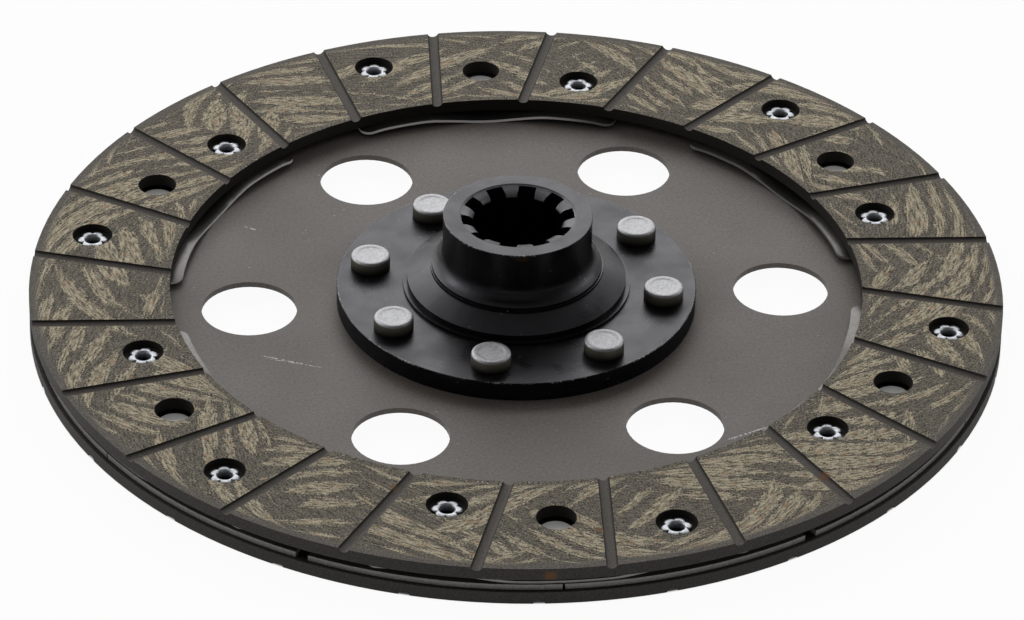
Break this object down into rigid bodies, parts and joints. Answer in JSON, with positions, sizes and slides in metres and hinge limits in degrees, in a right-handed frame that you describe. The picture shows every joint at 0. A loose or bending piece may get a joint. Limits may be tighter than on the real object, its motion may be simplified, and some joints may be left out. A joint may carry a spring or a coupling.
{
  "type": "clutch disc",
  "caption": "Rigid clutch disc: splined hub riveted to a holed carrier plate with grooved friction facings on waved cushion segments, made to slide on a gearbox shaft.",
  "frame": {"origin": "on the disc's axis, in the plane of the lower facing's underside", "axes": "+Z along the disc's axis towards the hub's long side, +X through one of the carrier plate's holes"},
  "size_m": [0.25, 0.25, 0.0304],
  "materials": {
    "black_hub": "black oxide on forged and turned steel, half gloss, bright at worn edges",
    "plate_steel": "grey-brown phosphated rolled steel with fine scratches",
    "friction_facing": "ground wound-yarn friction composite, dark grey resin with tan yarn",
    "spring_steel": "grey hardened spring strip, satin",
    "facing_rivet_zinc": "bright zinc-plated steel",
    "segment_rivet_steel": "plain steel, satin",
    "hub_rivet_steel": "pressed plain steel, satin"
  },
  "bodies": {
    "root": {"hub": "black_hub", "carrier_plate": "plate_steel", "upper_facing": "friction_facing", "lower_facing": "friction_facing", "upper_facing_rivets": "facing_rivet_zinc", "lower_facing_rivets": "facing_rivet_zinc", "cushion_segment_1": "spring_steel", "cushion_segment_2": "spring_steel", "cushion_segment_3": "spring_steel", "cushion_segment_4": "spring_steel", "cushion_segment_5": "spring_steel", "cushion_segment_6": "spring_steel", "segment_rivet_1": "segment_rivet_steel", "segment_rivet_2": "segment_rivet_steel", "segment_rivet_3": "segment_rivet_steel", "segment_rivet_4": "segment_rivet_steel", "segment_rivet_5": "segment_rivet_steel", "segment_rivet_6": "segment_rivet_steel", "hub_rivet_1": "hub_rivet_steel", "hub_rivet_2": "hub_rivet_steel", "hub_rivet_3": "hub_rivet_steel", "hub_rivet_4": "hub_rivet_steel", "hub_rivet_5": "hub_rivet_steel", "hub_rivet_6": "hub_rivet_steel", "hub_rivet_7": "hub_rivet_steel", "hub_rivet_8": "hub_rivet_steel"}
  },
  "joints": []
}
